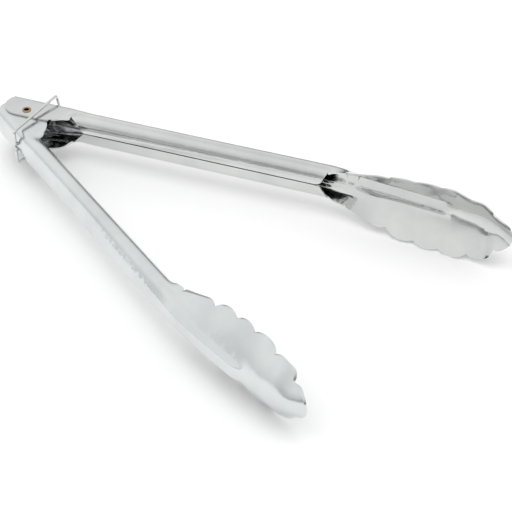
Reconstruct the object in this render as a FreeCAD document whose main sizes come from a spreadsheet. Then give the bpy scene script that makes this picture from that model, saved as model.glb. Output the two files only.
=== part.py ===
import FreeCAD, Part
import Sketcher
import math
import os

# Spring loaded kitchen tongs.  Frame: origin on the hinge axis at mid height, +X from the
# hinge to the jaws along the line between the two arms, +Y to the outer arm, +Z up along
# the hinge axis.  The tongs rest open.  Each arm is one pressed sheet, described in its own
# directions: u along the arm from the hinge, v outward from the other arm, z up.

V = FreeCAD.Vector
UP = V(0, 0, 1)
FOLDER = "parts"

doc = FreeCAD.newDocument("tongs")

# ---------------------------------------------------------------- driving dimensions, mm
SIZES = [
    ("gauge", 0.9),             # thickness of the sheet
    ("half_angle", 18.52),      # each arm's angle from the middle line, degrees
    ("arm_back", 14.5),         # outside of the arm's back
    ("back_swell", 0.8),        # how much further out the back is in front of the handle
    ("handle_height", 20.0),
    ("handle_face", 2.9),       # inner face of the handle, where the seam is
    ("handle_middle", 8.7),     # where the handle is widest
    ("seam_gap", 0.6),
    ("hinge_middle", 10.0),     # where the flat cheeks begin
    ("nested_height", 17.8),    # inner arm's height over its cheeks
    ("cheek_edge", -5.5),
    ("cheek_end", -15.0),
    ("ear_start", 11.0),
    ("ear_bulge", 20.6),
    ("mouth_back", 26.1),       # corners of the opening at the hinge
    ("seam_back", 33.6),
    ("seam_front", 174.6),
    ("mouth_front", 179.2),     # corners of the opening at the jaw
    ("mouth_depth", 4.9),
    ("mouth_half_width", 8.4),
    ("tab_end", 190.0),
    ("tab_edge", 4.0),
    ("rib_start", 88.0),
    ("rib_full", 130.0),
    ("rib_end", 246.0),
    ("rib_flat", 3.3),          # half width of the rib's flat
    ("rib_foot", 5.5),          # half width of the rib's foot
    ("jaw_tip", 284.6),
    ("rivet_bore", 1.5),
    ("rivet_shank", 2.2),
    ("rivet_head", 2.6),
    ("rivet_lip", 0.65),
    ("rivet_clearance", 0.08),
    ("sleeve_radius", 3.1),
    ("sleeve_length", 15.8),
    ("spring_wire", 0.75),
    ("spring_coil", 4.4),
    ("spring_turns", 7),
    ("spring_pitch", 1.9),
    ("spring_reach", 30.0),
    ("spring_wall", 10.9),      # the legs' distance from the arm's own middle line
    ("ring_wire", 0.85),
    ("ring_along", 15.7),       # ring's own axis, along the inner arm
    ("ring_inset", 1.9),        # ring's own axis, inside the inner arm's back
    ("ring_reach", 34.8),
    ("ring_bow", 2.8),          # how far the middle of the ring's end stands out
    ("ring_outside", 3.5),
    ("ring_end_height", 13.6),  # half height at the outer arm's back
    ("ring_half_height", 10.4),     # half height at the inner arm's back
    ("ring_lean", 11.1),        # lean from square across, degrees
    ("slot_step", 1.8),        # middle of each slot above and below mid height
    ("slot_width", 2.5),
    ("slot_length", 4.8),
]

sheet = doc.addObject("Spreadsheet::Sheet", "sizes")
for row, (alias, value) in enumerate(SIZES, start=1):
    sheet.set("A%d" % row, alias)
    sheet.set("B%d" % row, str(value))
    sheet.setAlias("B%d" % row, alias)
doc.recompute()


def size(alias):
    """One driving dimension, read from the spreadsheet."""
    return float(sheet.get(alias))


def bind(feature, prop, formula):
    """Bind a property or constraint; plain words in the formula are spreadsheet aliases."""
    feature.setExpression(prop, formula)


# ---------------------------------------------------------------- small helpers
def ease(x, low, high):
    """Smooth step from 0 at low to 1 at high."""
    k = min(1.0, max(0.0, (x - low) / (high - low)))
    return k * k * (3.0 - 2.0 * k)


def mix(a, b, k):
    return a + (b - a) * k


def through(stations, x, column):
    """Smooth curve without overshoot through one column of a short table."""
    xs = [row[0] for row in stations]
    ys = [row[column] for row in stations]
    x = min(max(x, xs[0]), xs[-1])
    last = len(xs) - 2
    i = max(k for k in range(last + 1) if xs[k] <= x)
    slopes = [(ys[k + 1] - ys[k]) / (xs[k + 1] - xs[k]) for k in range(last + 1)]

    def tangent(k):
        if k == 0:
            return slopes[0]
        if k == last + 1:
            return slopes[last]
        before, after = slopes[k - 1], slopes[k]
        if before * after <= 0.0:
            return 0.0
        return 2.0 * before * after / (before + after)

    width = xs[i + 1] - xs[i]
    k = (x - xs[i]) / width
    rise = ys[i + 1] - ys[i]
    start, finish = tangent(i) * width, tangent(i + 1) * width
    return (ys[i] + k * start + k * k * (3 * rise - 2 * start - finish)
            + k * k * k * (start + finish - 2 * rise))


# ---------------------------------------------------------------- the pressed sheet
# Jaw sections: u, outside of the back, half width and v at the notches, and the power of
# the section's curve (near 1 is a straight V, 2 is a spoon).
JAW = [
    (200.0, 14.6, 13.5, 3.4, 1.30),
    (214.0, 13.5, 15.6, 2.1, 1.30),
    (230.0, 11.2, 18.5, -0.7, 1.30),
    (244.0, 9.0, 19.4, -2.0, 1.35),
    (253.0, 7.6, 19.6, -2.9, 1.60),
    (260.0, 6.2, 17.0, -3.5, 1.75),
    (268.0, 4.2, 17.3, -4.6, 1.9),
    (275.0, 1.6, 10.0, -4.4, 1.9),
    (281.0, -2.0, 7.2, -5.2, 2.0),
    (286.0, -6.0, 5.5, -7.4, 2.0),
    (292.0, -11.0, 5.5, -12.4, 2.0),
]
# How far the sheet reaches before it is trimmed: u, half width.
JAW_BLANK = [(180.0, 12.0), (200.0, 18.0), (214.0, 23.0), (232.0, 25.5), (250.0, 25.0),
             (262.0, 22.5), (272.0, 18.5), (280.0, 15.5), (292.0, 14.0)]
# Height of the rib's flat over the back: u, height.
RIB = [(100.0, 0.15), (190.0, 0.15), (214.0, 0.2), (230.0, 0.6), (246.0, 1.0)]
# Notches between the lobes: u, half width; then how far each lobe bulges past its notches.
NOTCHES = [(213.8, 15.6), (230.3, 18.5), (244.3, 19.4), (260.3, 17.0), (275.0, 10.0)]
LOBE_BULGE = [2.3, 1.9, 2.8, 3.6]
FLARE_START = 10.4
FLARE_CORNER = (206.5, 15.7)
FLARE_MIDDLE = (211.0, 16.3)
TIP_SHOULDER = (278.4, 9.0)
TIP_SIDE = (281.3, 6.9)
BACK_SHARE = 0.5               # share of the section that the back takes, up to the side

# Where the patch lines run: start, end and spacing of each stretch along the arm.
ALONG = [(-20, 16, 12.0), (16, 40, 2.4), (40, 80, 20.0), (80, 130, 10.0), (130, 168, 9.5),
         (168, 212, 2.75), (212, 240, 4.0), (240, 252, 2.0), (252, 292, 4.0)]
ACROSS = [(0.0, 0.10, 0.05), (0.10, 0.26, 0.02), (0.26, 1.0, 0.0617)]


def stretch_knots(stretches):
    knots = [stretches[0][0]]
    for low, high, step in stretches:
        count = max(1, round((high - low) / step))
        knots += [low + (high - low) * (k + 1) / count for k in range(count)]
    return knots


def greville(knots):
    """Averages of each three knots in a row of a clamped cubic: where its poles belong."""
    full = [knots[0]] * 3 + list(knots) + [knots[-1]] * 3
    return [sum(full[k + 1:k + 4]) / 3.0 for k in range(len(full) - 4)]


def section_point(u, f, hinge_half):
    """Outside of the sheet at u and at share f of the way from the back to the edge."""
    side = abs(f)
    back = size("arm_back") + size("back_swell") * ease(u, 100.0, 170.0)
    middle = size("handle_middle")
    opened = 1.0 - ease(u, 21.0, 38.0)
    half = mix(size("handle_height") / 2.0, hinge_half, opened)
    widest = mix(middle, size("hinge_middle"), opened)
    if side <= BACK_SHARE:
        turn = side / BACK_SHARE * math.pi / 2
        z = half * math.sin(turn)
        v = widest + (back - widest) * math.cos(turn)
    else:
        tail = (side - BACK_SHARE) / (1.0 - BACK_SHARE)
        flat = widest - tail * (widest - size("cheek_edge") + 1.0)
        stop = math.asin(size("seam_gap") / 2.0 / half)
        turn = math.pi / 2 + tail * (math.pi / 2 - stop)
        face = (half * math.sin(turn),
                widest + (widest - size("handle_face")) * math.cos(turn))
        wall = widest - tail * (widest - size("tab_edge") + 0.5)
        curled = ease(u, 22.4, 28.4)
        straightened = ease(u, 174.0, 183.0)
        z = mix(mix(half, face[0], curled), half, straightened)
        v = mix(mix(flat, face[1], curled), wall, straightened)
    spread = ease(u, 180.0, 209.0)
    if spread > 0.0:
        reach = side * through(JAW_BLANK, u, 1)
        root, edge_z, edge_v, power = [through(JAW, u, k) for k in (1, 2, 3, 4)]
        wing = root - (root - edge_v) * (reach / edge_z) ** power
        z = mix(z, reach, spread)
        v = mix(v, wing, spread)
    crown = back if spread <= 0.0 else mix(back, through(JAW, u, 1), spread)
    raised = ease(u, size("rib_start"), size("rib_full"))
    raised *= 1.0 - ease(u, size("rib_end") - 3.0, size("rib_end") + 3.0)
    if raised > 0.0 and side <= BACK_SHARE:
        flat = 1.0 - ease(z, size("rib_flat"), size("rib_foot"))
        v += raised * flat * (crown + through(RIB, u, 1) - v)
    return V(u, v, z if f >= 0 else -z)


def inward(u, f, hinge_half):
    """Unit vector from the outside of the sheet to its inside."""
    step = 0.01
    along = section_point(u + step, f, hinge_half) - section_point(u - step, f, hinge_half)
    near, far = max(-1.0, f - 0.002), min(1.0, f + 0.002)
    across = section_point(u, far, hinge_half) - section_point(u, near, hinge_half)
    normal = along.cross(across)
    return normal.normalize()


def patch(rows, row_knots, column_knots):
    surface = Part.BSplineSurface()
    row_mults = [4] + [1] * (len(row_knots) - 2) + [4]
    column_mults = [4] + [1] * (len(column_knots) - 2) + [4]
    surface.buildFromPolesMultsKnots(rows, row_mults, column_mults,
                                     row_knots, column_knots, False, False, 3, 3)
    return surface


def formed_sheet(hinge_half):
    """The whole arm as one bent sheet of even thickness, before its outline is trimmed."""
    row_knots = stretch_knots(ALONG)
    half_knots = stretch_knots(ACROSS)
    column_knots = [-k for k in reversed(half_knots[1:])] + half_knots
    outside, inside = [], []
    first, last = row_knots[0], row_knots[-1]
    for u in greville(row_knots):
        outer_row, inner_row = [], []
        for f in greville(column_knots):
            point = section_point(u, f, hinge_half)
            inner = point + inward(u, f, hinge_half) * size("gauge")
            if u in (first, last):
                inner.x = u
            outer_row.append(point)
            inner_row.append(inner)
        outside.append(outer_row)
        inside.append(inner_row)
    outer_patch = patch(outside, row_knots, column_knots)
    inner_patch = patch(inside, row_knots, column_knots)
    faces = [outer_patch.toShape(), inner_patch.toShape()]
    for f in (column_knots[0], column_knots[-1]):
        faces.append(Part.makeRuledSurface(outer_patch.vIso(f).toShape(),
                                           inner_patch.vIso(f).toShape()))
    for u in (first, last):
        faces.append(Part.makeRuledSurface(outer_patch.uIso(u).toShape(),
                                           inner_patch.uIso(u).toShape()))
    shell = Part.makeShell(faces)
    shell.sewShape()
    solid = Part.makeSolid(shell)
    if solid.Volume < 0:
        solid.reverse()
    return solid


def prism(edges, direction):
    return Part.Face(Part.Wire(edges)).extrude(direction)


def line(a, b):
    return Part.LineSegment(a, b).toShape()


def arc(a, b, c):
    return Part.Arc(a, b, c).toShape()


def side_outline():
    """Everything kept when the arm is seen along z: cheek ends, ears and tabs."""
    low, high = -60.0, 60.0
    base = -30.0
    rear, edge, back = size("cheek_end"), size("cheek_edge"), size("arm_back") + 0.2
    radius = (back - edge) / 2.0
    centre = V(rear + radius, (back + edge) / 2.0, base)
    corner = V(size("mouth_back"), size("mouth_depth"), base)
    ear = V(size("ear_start"), edge, base)
    bulge = V(size("ear_bulge"), edge + 3.2, base)
    tab_corner = V(size("mouth_front"), size("mouth_depth"), base)
    tab_low = V(size("tab_end") - 1.6, size("tab_edge"), base)
    tab_mid = V(size("mouth_front") + 4.6, size("tab_edge") + 0.25, base)
    tab_side = V(size("tab_end"), size("tab_edge") + 1.6, base)
    tab_turn = V(size("tab_end") - 0.47, size("tab_edge") + 0.47, base)
    end = size("jaw_tip") + 10.0
    edges = [
        arc(V(centre.x, back, base), V(rear, centre.y, base), V(centre.x, edge, base)),
        line(V(centre.x, edge, base), ear),
        arc(ear, bulge, corner),
        line(corner, V(corner.x, low, base)),
        line(V(corner.x, low, base), V(tab_corner.x, low, base)),
        line(V(tab_corner.x, low, base), tab_corner),
        arc(tab_corner, tab_mid, tab_low),
        arc(tab_low, tab_turn, tab_side),
        line(tab_side, V(tab_side.x, low, base)),
        line(V(tab_side.x, low, base), V(end, low, base)),
        line(V(end, low, base), V(end, high, base)),
        line(V(end, high, base), V(centre.x, high, base)),
        line(V(centre.x, high, base), V(centre.x, back, base)),
    ]
    return prism(edges, UP * 60.0)


def front_outline():
    """Everything kept when the arm is seen along v: the flare, the lobes and the tip."""
    depth = -40.0
    wide = 40.0
    tab = size("tab_end")

    def at(u, z):
        return V(u, depth, z)

    half = [line(at(tab, wide), at(tab, FLARE_START)),
            line(at(tab, FLARE_START), at(*FLARE_CORNER)),
            arc(at(*FLARE_CORNER), at(*FLARE_MIDDLE), at(*NOTCHES[0]))]
    for (u1, z1), (u2, z2), bulge in zip(NOTCHES, NOTCHES[1:], LOBE_BULGE):
        span = math.hypot(u2 - u1, z2 - z1)
        middle = at((u1 + u2) / 2 - (z2 - z1) / span * bulge,
                    (z1 + z2) / 2 + (u2 - u1) / span * bulge)
        half.append(arc(at(u1, z1), middle, at(u2, z2)))
    other = [edge.mirror(V(0, 0, 0), UP) for edge in half]
    last = NOTCHES[-1]
    tip = [arc(at(*last), at(*TIP_SHOULDER), at(*TIP_SIDE)),
           arc(at(*TIP_SIDE), at(size("jaw_tip"), 0), at(TIP_SIDE[0], -TIP_SIDE[1])),
           arc(at(TIP_SIDE[0], -TIP_SIDE[1]), at(TIP_SHOULDER[0], -TIP_SHOULDER[1]),
               at(last[0], -last[1]))]
    rear = size("cheek_end") - 20.0
    closing = [line(at(tab, wide), at(rear, wide)), line(at(rear, wide), at(rear, -wide)),
               line(at(rear, -wide), at(tab, -wide))]
    edges = half + tip + list(reversed(other)) + list(reversed(closing))
    wire = Part.Wire(Part.__sortEdges__(edges))
    return Part.Face(wire).extrude(V(0, 80, 0))


def mouth_cutters():
    """The two V openings where the handle's folded faces stop."""
    cutters = []
    depth = size("mouth_depth") + 1.6
    half = size("mouth_half_width")
    for apex, corner in ((size("seam_back"), size("mouth_back")),
                         (size("seam_front"), size("mouth_front"))):
        low = V(apex, -40, 0)
        top = V(corner, -40, half)
        bottom = V(corner, -40, -half)
        wedge = prism([line(low, top), line(top, bottom), line(bottom, low)],
                      V(0, 40 + depth, 0))
        cutters.append(wedge)
    return cutters


def pressed_arm(hinge_half):
    shape = formed_sheet(hinge_half)
    for keep in (side_outline(), front_outline()):
        shape = shape.common(keep)
    shape = shape.cut(mouth_cutters())
    solids = sorted(shape.Solids, key=lambda s: s.Volume)
    return solids[-1]


def add_shape(name, shape):
    feature = doc.addObject("Part::Feature", name)
    feature.Shape = shape
    return feature


def hole_tool(name, radius_formula):
    tool = doc.addObject("Part::Cylinder", name)
    bind(tool, "Radius", radius_formula)
    tool.Height = 40
    tool.Placement = FreeCAD.Placement(V(0, 0, -20), FreeCAD.Rotation())
    return tool


def slot_tool(name, side):
    """One of the two slots in the back of the inner arm, where the lock ring goes in."""
    tool = doc.addObject("Part::Box", name)
    bind(tool, "Length", "sizes.slot_length")
    bind(tool, "Height", "sizes.slot_width")
    tool.Width = 6
    bind(tool, "Placement.Base.x", "sizes.ring_along - sizes.slot_length / 2")
    bind(tool, "Placement.Base.y", "sizes.arm_back - 4")
    bind(tool, "Placement.Base.z", "%d * sizes.slot_step - sizes.slot_width / 2" % side)
    return tool


def make_outer_arm():
    blank = add_shape("outer_arm_sheet", pressed_arm(size("handle_height") / 2.0))
    arm = doc.addObject("Part::Cut", "outer_arm")
    arm.Base = blank
    arm.Tool = hole_tool("outer_arm_hole", "sizes.rivet_shank")
    arm.Placement = FreeCAD.Placement(V(0, 0, 0),
                                      FreeCAD.Rotation(UP, size("half_angle")))
    return arm


def make_inner_arm():
    blank = add_shape("inner_arm_sheet", pressed_arm(size("nested_height") / 2.0))
    tools = doc.addObject("Part::MultiFuse", "inner_arm_holes")
    tools.Shapes = [hole_tool("inner_arm_hole", "sizes.rivet_shank + sizes.rivet_clearance"),
                    slot_tool("upper_slot", 1), slot_tool("lower_slot", -1)]
    pierced = doc.addObject("Part::Cut", "inner_arm_pierced")
    pierced.Base = blank
    pierced.Tool = tools
    arm = doc.addObject("Part::Mirroring", "inner_arm")
    arm.Source = pierced
    arm.Normal = V(0, 1, 0)
    arm.Placement = FreeCAD.Placement(V(0, 0, 0),
                                      FreeCAD.Rotation(UP, -size("half_angle")))
    return arm


# ---------------------------------------------------------------- turned and cut pieces
def origin_plane(body, role):
    return [f for f in body.Origin.OriginFeatures if f.Role == role][0]


def new_sketch(body, name, role):
    sketch = body.newObject("Sketcher::SketchObject", name)
    sketch.AttachmentSupport = [(origin_plane(body, role), "")]
    sketch.MapMode = "FlatFace"
    return sketch


def make_rivet():
    """Hollow hinge rivet: a tube with a lip rolled out over the outer arm's cheeks."""
    body = doc.addObject("PartDesign::Body", "hinge_rivet")
    sketch = new_sketch(body, "rivet_profile", "XZ_Plane")
    bore, shank, head = size("rivet_bore"), size("rivet_shank"), size("rivet_head")
    cheek = size("handle_height") / 2.0
    top = cheek + size("rivet_lip")
    corners = [(bore, -top), (head, -top), (head, -cheek), (shank, -cheek),
               (shank, cheek), (head, cheek), (head, top), (bore, top)]
    count = len(corners)
    for k in range(count):
        (x1, y1), (x2, y2) = corners[k], corners[(k + 1) % count]
        sketch.addGeometry(Part.LineSegment(V(x1, y1, 0), V(x2, y2, 0)), False)
    for k in range(count):
        sketch.addConstraint(Sketcher.Constraint("Coincident", k, 2, (k + 1) % count, 1))
    formulas = {0: ("sizes.rivet_bore", "-sizes.handle_height / 2 - sizes.rivet_lip"),
                1: ("sizes.rivet_head", "-sizes.handle_height / 2 - sizes.rivet_lip"),
                2: ("sizes.rivet_head", "-sizes.handle_height / 2"),
                3: ("sizes.rivet_shank", "-sizes.handle_height / 2"),
                4: ("sizes.rivet_shank", "sizes.handle_height / 2"),
                5: ("sizes.rivet_head", "sizes.handle_height / 2"),
                6: ("sizes.rivet_head", "sizes.handle_height / 2 + sizes.rivet_lip"),
                7: ("sizes.rivet_bore", "sizes.handle_height / 2 + sizes.rivet_lip")}
    for k, (across, height) in formulas.items():
        x, y = corners[k]
        row = sketch.addConstraint(Sketcher.Constraint("DistanceX", -1, 1, k, 1, x))
        bind(sketch, "Constraints[%d]" % row, across)
        row = sketch.addConstraint(Sketcher.Constraint("DistanceY", -1, 1, k, 1, y))
        bind(sketch, "Constraints[%d]" % row, height)
    turned = body.newObject("PartDesign::Revolution", "rivet_turned")
    turned.Profile = sketch
    turned.ReferenceAxis = (sketch, ["V_Axis"])
    turned.Angle = 360
    doc.recompute()
    rims = []
    for k, edge in enumerate(turned.Shape.Edges, start=1):
        circle = isinstance(edge.Curve, Part.Circle)
        if circle and abs(edge.CenterOfMass.z) > top - 0.01:
            rims.append("Edge%d" % k)
    rounded = body.newObject("PartDesign::Fillet", "rivet_rolled")
    rounded.Base = (turned, rims)
    bind(rounded, "Radius", "sizes.rivet_lip * 0.75")
    return body


def make_sleeve():
    """Spacer tube that turns on the rivet and keeps the cheeks apart."""
    body = doc.addObject("PartDesign::Body", "spacer_sleeve")
    sketch = new_sketch(body, "sleeve_section", "XY_Plane")
    for formula, radius in (("sizes.sleeve_radius", size("sleeve_radius")),
                            ("sizes.rivet_shank + sizes.rivet_clearance", 2.28)):
        k = sketch.addGeometry(Part.Circle(V(0, 0, 0), UP, radius), False)
        sketch.addConstraint(Sketcher.Constraint("Coincident", k, 3, -1, 1))
        row = sketch.addConstraint(Sketcher.Constraint("Radius", k, radius))
        bind(sketch, "Constraints[%d]" % row, formula)
    pad = body.newObject("PartDesign::Pad", "sleeve_length")
    pad.Profile = sketch
    pad.Midplane = True
    bind(pad, "Length", "sizes.sleeve_length")
    return body


# ---------------------------------------------------------------- bent wire
def wire_path(points, radii):
    """Straight runs through the points, with an arc of the given radius at each corner."""
    count = len(points)
    edges = []
    exits = []
    for k in range(count):
        here, before, after = points[k], points[k - 1], points[(k + 1) % count]
        if radii[k] is None:
            exits.append((here, here, None))
            continue
        back = (before - here).normalize()
        on = (after - here).normalize()
        half_turn = math.acos(max(-1.0, min(1.0, back.dot(on)))) / 2.0
        setback = radii[k] / math.tan(half_turn)
        middle = (back + on).normalize()
        apex = here + middle * (radii[k] / math.sin(half_turn) - radii[k])
        exits.append((here + back * setback, here + on * setback, apex))
    closed = radii[0] is not None
    for k in range(count if closed else count - 1):
        edges.append(line(exits[k][1], exits[(k + 1) % count][0]))
        nxt = exits[(k + 1) % count]
        if nxt[2] is not None:
            edges.append(arc(nxt[0], nxt[2], nxt[1]))
    return Part.Wire(edges)


def round_bar(path, radius, start, direction):
    section = Part.Wire([Part.Circle(start, direction, radius).toShape()])
    return path.makePipeShell([section], True, True)


def make_lock_ring():
    """Wire bail, bent in one plane: local x reaches across both arms, z is up."""
    reach, outside = size("ring_reach"), -size("ring_outside")
    low, high, slot = size("ring_half_height"), size("ring_end_height"), size("slot_step")
    points = [V(reach, 0, high), V(outside, 0, low), V(outside, 0, slot), V(0, 0, slot),
              V(0, 0, -slot), V(outside, 0, -slot), V(outside, 0, -low), V(reach, 0, -high),
              V(reach + size("ring_bow"), 0, 0)]
    radii = [2.2, 2.4, 1.15, 1.15, 1.15, 1.15, 2.4, 2.2, 9.0]
    path = wire_path(points, radii)
    first = path.Edges[0]
    ring = round_bar(path, size("ring_wire"), first.Vertexes[0].Point,
                     first.tangentAt(first.FirstParameter))
    along, inset = size("ring_along"), size("arm_back") - size("ring_inset")
    turn = FreeCAD.Rotation(UP, -size("half_angle"))
    axis = turn.multVec(V(along, -inset, 0))
    lean = 90.0 + size("half_angle") - size("ring_lean")
    feature = add_shape("lock_ring", ring)
    feature.Placement = FreeCAD.Placement(axis, FreeCAD.Rotation(UP, lean))
    return feature


def make_spring():
    """Torsion spring: coil round the sleeve, one leg along the inside of each back."""
    radius, wire = size("spring_coil"), size("spring_wire")
    turns, pitch = int(size("spring_turns")), size("spring_pitch")
    bottom = -turns * pitch / 2.0
    alpha = math.radians(size("half_angle"))
    wall = size("spring_wall")
    reach = size("spring_reach")
    away_x = reach * math.cos(alpha) - wall * math.sin(alpha)
    away_y = reach * math.sin(alpha) + wall * math.cos(alpha)

    def on_coil(angle, z):
        return V(radius * math.cos(angle), radius * math.sin(angle), z)

    # A straight leg leaves the coil at the angle where it is tangent to it.  The leg on the
    # outer arm leaves the bottom of the coil and the other leaves the top.
    leave = math.atan2(away_y, away_x) + math.acos(radius / math.hypot(away_x, away_y))
    halfway = (leave + math.pi) / 2.0
    edges = [line(V(away_x, away_y, bottom), on_coil(leave, bottom)),
             arc(on_coil(leave, bottom), on_coil(halfway, bottom), on_coil(math.pi, bottom))]
    # Each half turn is an arc in its own tilted plane, level where it meets the next.
    for k in range(2 * turns):
        low = bottom + k * pitch / 2.0
        side = -1 if k % 2 == 0 else 1
        edges.append(arc(V(side * radius, 0, low), V(0, side * radius, low + pitch / 4.0),
                         V(-side * radius, 0, low + pitch / 2.0)))
    edges += [arc(on_coil(math.pi, -bottom), on_coil(-halfway, -bottom),
                  on_coil(-leave, -bottom)),
              line(on_coil(-leave, -bottom), V(away_x, -away_y, -bottom))]
    path = Part.Wire(edges)
    bar = round_bar(path, wire, edges[0].Vertexes[0].Point, edges[0].Curve.Direction)
    print("spring: volume against section by length %.4f"
          % (bar.Volume / (math.pi * wire * wire * path.Length)))
    return add_shape("torsion_spring", bar)


# ---------------------------------------------------------------- build, test and write
pieces = [make_outer_arm(), make_inner_arm(), make_rivet(), make_sleeve(), make_spring(),
          make_lock_ring()]
doc.recompute()

for thing in doc.Objects:
    bad = [word for word in thing.State if word in ("Invalid", "Error")]
    if bad:
        raise RuntimeError("%s is %s" % (thing.Name, bad))

os.makedirs(FOLDER, exist_ok=True)
for piece in pieces:
    piece.Label = piece.Name
    shape = piece.Shape
    if shape.isNull() or not shape.isValid():
        raise RuntimeError("%s has no valid shape" % piece.Label)
    print("%-16s solids %d  volume %8.1f mm3" % (piece.Label, len(shape.Solids), shape.Volume))
    shape.exportStep(os.path.join(FOLDER, piece.Label + ".step"))
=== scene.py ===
import math

import bpy
from mathutils import Matrix, Vector


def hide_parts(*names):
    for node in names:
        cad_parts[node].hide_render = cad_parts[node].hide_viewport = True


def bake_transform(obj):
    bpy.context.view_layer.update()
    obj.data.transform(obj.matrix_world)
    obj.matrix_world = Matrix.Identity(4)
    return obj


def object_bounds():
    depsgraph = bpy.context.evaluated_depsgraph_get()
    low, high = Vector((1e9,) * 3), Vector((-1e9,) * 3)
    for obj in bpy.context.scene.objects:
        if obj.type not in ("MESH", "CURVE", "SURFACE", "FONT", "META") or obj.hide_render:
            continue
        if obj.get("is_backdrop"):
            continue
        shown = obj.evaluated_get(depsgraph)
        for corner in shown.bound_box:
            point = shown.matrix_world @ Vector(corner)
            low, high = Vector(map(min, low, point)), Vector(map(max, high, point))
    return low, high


# Looks for the spring loaded tongs.  Everything is in metres, in the frame of the packed
# model: the origin is on the hinge axis at mid height, +X runs to the jaws, +Y to the outer
# arm and +Z up along the hinge axis.

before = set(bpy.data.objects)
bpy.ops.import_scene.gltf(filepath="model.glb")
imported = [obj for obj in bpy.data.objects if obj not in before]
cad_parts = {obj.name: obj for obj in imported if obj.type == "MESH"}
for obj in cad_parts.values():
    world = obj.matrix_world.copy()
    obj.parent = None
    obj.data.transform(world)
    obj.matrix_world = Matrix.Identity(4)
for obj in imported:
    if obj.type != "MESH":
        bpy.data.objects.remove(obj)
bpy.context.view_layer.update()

HALF_ANGLE = math.radians(18.52)      # each arm's angle from the middle line
ALONG_ARM = (0.03, 1.0, 1.0)          # grain drawn out along the arm
ALONG_AXIS = (1.0, 1.0, 0.05)         # grain drawn out along the hinge axis

# Tone thresholds of every noise texture: below the first is dark, above the second is light.
NOISE_LOW = 0.3
NOISE_HIGH = 0.7
BUMP_STRENGTH = 0.12

# Floor paper.
FLOOR_SIZE = 4.0
FLOOR_CENTRE_X = 0.15
FLOOR_COLOUR = (0.93, 0.93, 0.93, 1.0)
FLOOR_ROUGHNESS = 0.9
FLOOR_SPECULAR = 0.1

# Brightness of the surround against the sine of the height above the horizon.
OPEN_SIDE = [(0.0, 0.16), (0.10, 0.20), (0.26, 0.62), (0.50, 0.90), (0.75, 1.0), (1.0, 0.86)]
TENT_SIDE = [(0.0, 0.72), (0.12, 0.86), (0.35, 1.0), (0.70, 0.98), (1.0, 0.86)]
TENT_DIRECTION = (-0.90, -0.43, 0.0)
TENT_EDGE = (0.2, 0.8)                # where the open side turns into the tent
WORLD_STRENGTH = 1.0

# Overhead lamp.  It lights the floor and isn't mirrored in the steel.
KEY_PLACE = (0.25, -0.35, 1.5)
KEY_AIM = (0.15, 0.0, 0.0)
KEY_SIZE = (1.6, 1.2)
KEY_POWER = 9.0

# Camera.
SENSOR_WIDTH = 36.0
LENS = 118.7
CLIP_START = 0.01
AZIMUTH = math.radians(-40.58)
ELEVATION = math.radians(37.46)
ROLL = math.radians(-0.55)
DISTANCE = 0.8616
TARGET = Vector((0.17905, -0.01096, 0.0))


# ---------------------------------------------------------------- materials
class Nodes:
    """A short way to write a node tree."""

    def __init__(self, tree):
        self.tree = tree

    def add(self, kind, inputs=None, **props):
        node = self.tree.nodes.new(kind)
        for name, value in props.items():
            setattr(node, name, value)
        for name, value in (inputs or {}).items():
            if isinstance(value, bpy.types.NodeSocket):
                self.link(value, node.inputs[name])
            else:
                node.inputs[name].default_value = value
        return node

    def link(self, out, into):
        self.tree.links.new(out, into)

    def ramp(self, value, stops):
        """Colour by value: each stop is a position and a grey or an (r, g, b)."""
        node = self.add("ShaderNodeValToRGB", {"Fac": value})
        elements = node.color_ramp.elements
        while len(elements) < len(stops):
            elements.new(0.5)
        for element, (place, colour) in zip(elements, stops):
            element.position = place
            rgb = colour if isinstance(colour, tuple) else (colour, colour, colour)
            element.color = (*rgb, 1.0)
        return node.outputs["Color"]


def along_arm(nodes, angle, stretch):
    """Object coordinates turned to the arm's direction and stretched along it."""
    coords = nodes.add("ShaderNodeTexCoord")
    turned = nodes.add("ShaderNodeVectorRotate", {"Vector": coords.outputs["Object"],
                                                  "Angle": -angle}, rotation_type="Z_AXIS")
    return nodes.add("ShaderNodeMapping", {"Vector": turned.outputs["Vector"],
                                           "Scale": stretch}).outputs["Vector"]


def noise(nodes, vector, scale, detail, roughness=0.55):
    return nodes.add("ShaderNodeTexNoise", {"Vector": vector, "Scale": scale, "Detail": detail,
                                            "Roughness": roughness}).outputs["Fac"]


def spread(nodes, value, low, high):
    """Map a noise value from dark..light to low..high."""
    return nodes.add("ShaderNodeMapRange", {"Value": value, "From Min": NOISE_LOW,
                                            "From Max": NOISE_HIGH, "To Min": low,
                                            "To Max": high}).outputs["Result"]


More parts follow.
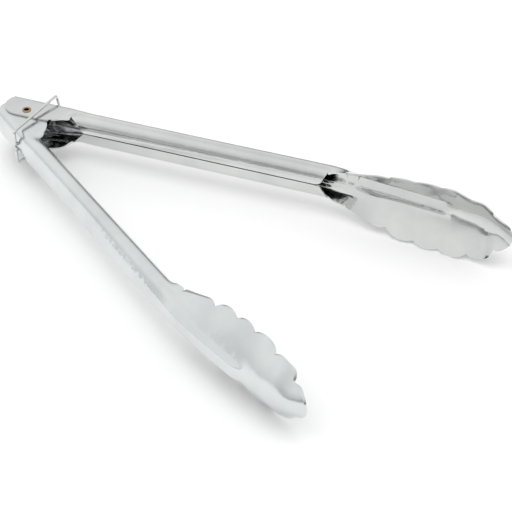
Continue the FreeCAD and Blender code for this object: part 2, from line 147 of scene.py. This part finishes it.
def metal(name, dark, light, rough, angle=0.0, stretch=(1.0, 1.0, 1.0), cloud_scale=45.0,
          grain_scale=2400.0, grain=0.02, grain_depth=0.00001):
    """Bare metal: faint clouds of tone, roughness that varies with handling, and a fine
    grain that runs one way."""
    material = bpy.data.materials.new(name)
    material.use_nodes = True
    nodes = Nodes(material.node_tree)
    shader = material.node_tree.nodes["Principled BSDF"]
    shader.inputs["Metallic"].default_value = 1.0
    still = along_arm(nodes, angle, (1.0, 1.0, 1.0))
    lined = along_arm(nodes, angle, stretch)
    clouds = noise(nodes, still, cloud_scale, detail=4.0)
    lines = noise(nodes, lined, grain_scale, detail=2.0, roughness=0.7)
    colour = nodes.ramp(clouds, [(NOISE_LOW, dark), (NOISE_HIGH, light)])
    nodes.link(colour, shader.inputs["Base Color"])
    handled = spread(nodes, clouds, rough[0], rough[1])
    streaked = spread(nodes, lines, -grain, grain)
    total = nodes.add("ShaderNodeMath", {0: handled, 1: streaked}, operation="ADD")
    nodes.link(total.outputs["Value"], shader.inputs["Roughness"])
    bump = nodes.add("ShaderNodeBump", {"Strength": BUMP_STRENGTH, "Distance": grain_depth,
                                        "Height": lines})
    nodes.link(bump.outputs["Normal"], shader.inputs["Normal"])
    return material


def dress(piece, material):
    piece.data.materials.clear()
    piece.data.materials.append(material)


OUTER_STEEL = metal("outer_arm_steel_look", (0.62, 0.63, 0.625), (0.71, 0.72, 0.71),
                    (0.07, 0.13), angle=HALF_ANGLE, stretch=ALONG_ARM)
INNER_STEEL = metal("inner_arm_steel_look", (0.64, 0.67, 0.67), (0.72, 0.75, 0.745),
                    (0.15, 0.22), angle=-HALF_ANGLE, stretch=ALONG_ARM)
BRASS = metal("rivet_brass_look", (0.40, 0.27, 0.18), (0.56, 0.41, 0.28), (0.24, 0.40),
              cloud_scale=260.0, grain_scale=1800.0)
SLEEVE_STEEL = metal("sleeve_steel_look", (0.34, 0.34, 0.35), (0.48, 0.48, 0.49),
                     (0.32, 0.45), stretch=ALONG_AXIS)
SPRING_STEEL = metal("spring_steel_look", (0.46, 0.46, 0.47), (0.62, 0.62, 0.63),
                     (0.22, 0.34), cloud_scale=300.0, grain_scale=3000.0)
RING_STEEL = metal("ring_wire_look", (0.66, 0.66, 0.67), (0.76, 0.76, 0.76), (0.12, 0.20),
                   cloud_scale=220.0, grain_scale=3000.0)

dress(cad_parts["outer_arm"], OUTER_STEEL)
dress(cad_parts["inner_arm"], INNER_STEEL)
dress(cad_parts["hinge_rivet"], BRASS)
dress(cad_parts["spacer_sleeve"], SLEEVE_STEEL)
dress(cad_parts["lock_ring"], RING_STEEL)


# ---------------------------------------------------------------- torsion spring
def spring_piece():
    """The spring as a piece of its own: a copy of the CAD spring's mesh in spring steel,
    standing in for the hidden CAD part.
    """
    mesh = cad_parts["torsion_spring"].data.copy()
    mesh.name = "spring_wire"
    piece = bpy.data.objects.new("spring_wire", mesh)
    bpy.context.scene.collection.objects.link(piece)
    dress(piece, SPRING_STEEL)
    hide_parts("torsion_spring")
    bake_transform(piece)
    return piece


spring_piece()


# ---------------------------------------------------------------- studio
def floor():
    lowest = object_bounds()[0][2]
    bpy.ops.mesh.primitive_plane_add(size=FLOOR_SIZE, location=(FLOOR_CENTRE_X, 0.0, lowest))
    plane = bpy.context.object
    plane.name = "floor"
    material = bpy.data.materials.new("floor_paper")
    material.use_nodes = True
    shader = material.node_tree.nodes["Principled BSDF"]
    shader.inputs["Base Color"].default_value = FLOOR_COLOUR
    shader.inputs["Roughness"].default_value = FLOOR_ROUGHNESS
    shader.inputs["Specular IOR Level"].default_value = FLOOR_SPECULAR
    plane.data.materials.append(material)
    plane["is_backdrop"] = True


def key_light():
    data = bpy.data.lights.new("key", "AREA")
    data.shape = "RECTANGLE"
    data.size, data.size_y = KEY_SIZE
    data.energy = KEY_POWER
    light = bpy.data.objects.new("key", data)
    bpy.context.scene.collection.objects.link(light)
    light.location = KEY_PLACE
    towards = Vector(KEY_AIM) - Vector(KEY_PLACE)
    light.rotation_euler = towards.to_track_quat("-Z", "Y").to_euler()
    light.visible_glossy = False


def colour_socket(sockets, name):
    """The colour socket of that name, where a mix node has one of each kind."""
    return [s for s in sockets if s.type == "RGBA" and s.name == name][0]


def world_light():
    """White tent: bright overhead and to the left, with a dark gap at the horizon where the
    tent is open."""
    world = bpy.data.worlds.new("studio")
    bpy.context.scene.world = world
    world.use_nodes = True
    nodes = Nodes(world.node_tree)
    background = world.node_tree.nodes["Background"]
    way = nodes.add("ShaderNodeTexCoord").outputs["Generated"]
    height = nodes.add("ShaderNodeSeparateXYZ", {"Vector": way}).outputs["Z"]
    towards = nodes.add("ShaderNodeVectorMath", {0: way, 1: TENT_DIRECTION},
                        operation="DOT_PRODUCT").outputs["Value"]
    share = nodes.add("ShaderNodeMapRange", {"Value": towards, "From Min": TENT_EDGE[0],
                                             "From Max": TENT_EDGE[1]}).outputs["Result"]
    mixed = nodes.add("ShaderNodeMix", {"Factor": share}, data_type="RGBA")
    nodes.link(nodes.ramp(height, OPEN_SIDE), colour_socket(mixed.inputs, "A"))
    nodes.link(nodes.ramp(height, TENT_SIDE), colour_socket(mixed.inputs, "B"))
    nodes.link(colour_socket(mixed.outputs, "Result"), background.inputs["Color"])
    background.inputs["Strength"].default_value = WORLD_STRENGTH


def camera():
    data = bpy.data.cameras.new("camera")
    data.sensor_width = SENSOR_WIDTH
    data.lens = LENS
    data.clip_start = CLIP_START
    view = bpy.data.objects.new("camera", data)
    bpy.context.scene.collection.objects.link(view)
    forward = Vector((math.sin(AZIMUTH) * math.cos(ELEVATION),
                      math.cos(AZIMUTH) * math.cos(ELEVATION), -math.sin(ELEVATION)))
    right = Vector((math.cos(AZIMUTH), -math.sin(AZIMUTH), 0.0))
    up = right.cross(forward)
    turned_right = right * math.cos(ROLL) + up * math.sin(ROLL)
    turned_up = up * math.cos(ROLL) - right * math.sin(ROLL)
    view.matrix_world = Matrix.Translation(TARGET - forward * DISTANCE) @ Matrix(
        (turned_right, turned_up, -forward)).transposed().to_4x4()
    bpy.context.scene.camera = view


floor()
world_light()
key_light()
camera()
bpy.context.scene.view_settings.view_transform = "Standard"
